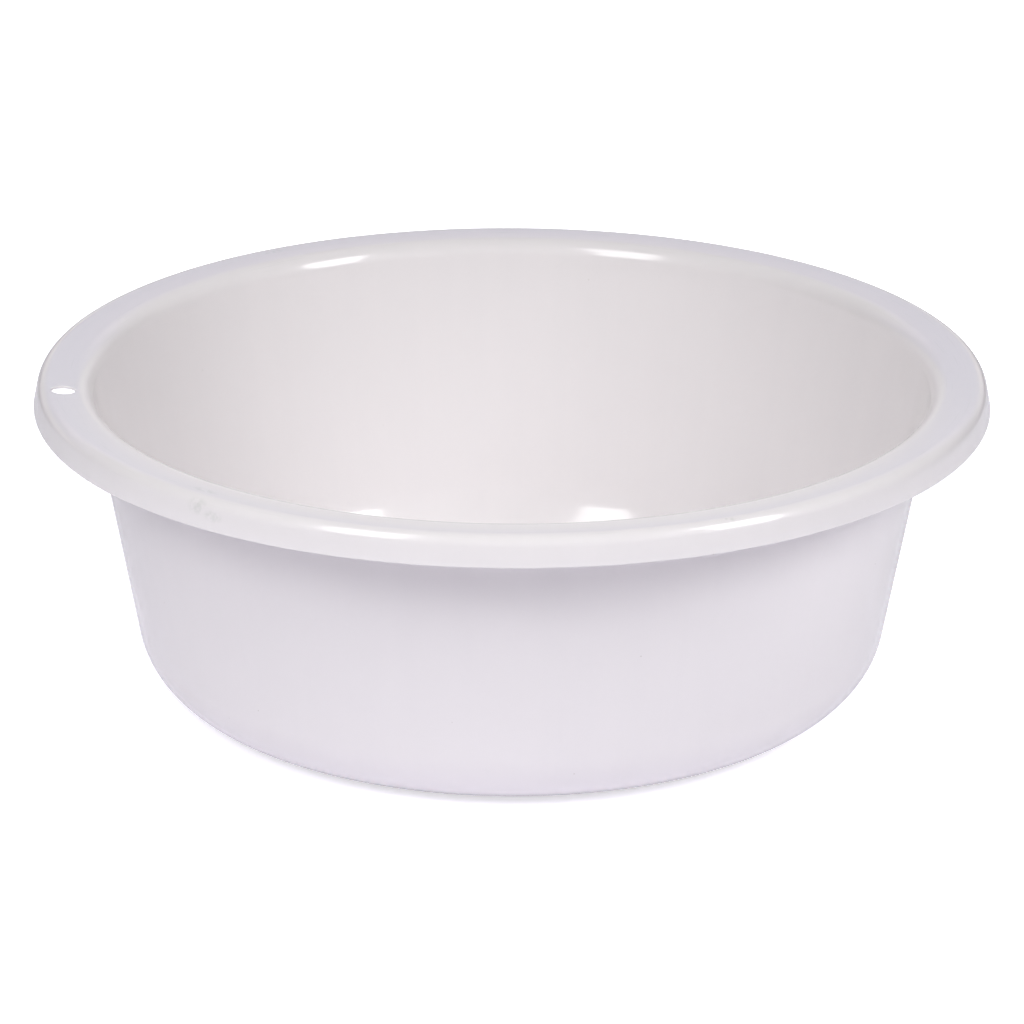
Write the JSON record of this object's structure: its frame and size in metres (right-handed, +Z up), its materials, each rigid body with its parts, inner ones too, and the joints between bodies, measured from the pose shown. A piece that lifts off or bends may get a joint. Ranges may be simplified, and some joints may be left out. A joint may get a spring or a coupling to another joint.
{
  "type": "plastic basin",
  "caption": "Round white plastic basin with a leaning wall, a flat rim with a turned-down skirt and a small hang hole.",
  "frame": {"origin": "centre of the standing face, at the bottom of the basin", "axes": "+Z up through the mouth of the bowl, -X towards the hang hole in the rim"},
  "size_m": [0.4, 0.4, 0.1368],
  "materials": {
    "white_plastic": "glossy white polypropylene with a faint lavender tint"
  },
  "bodies": {
    "root": {"basin": "white_plastic"}
  },
  "joints": []
}
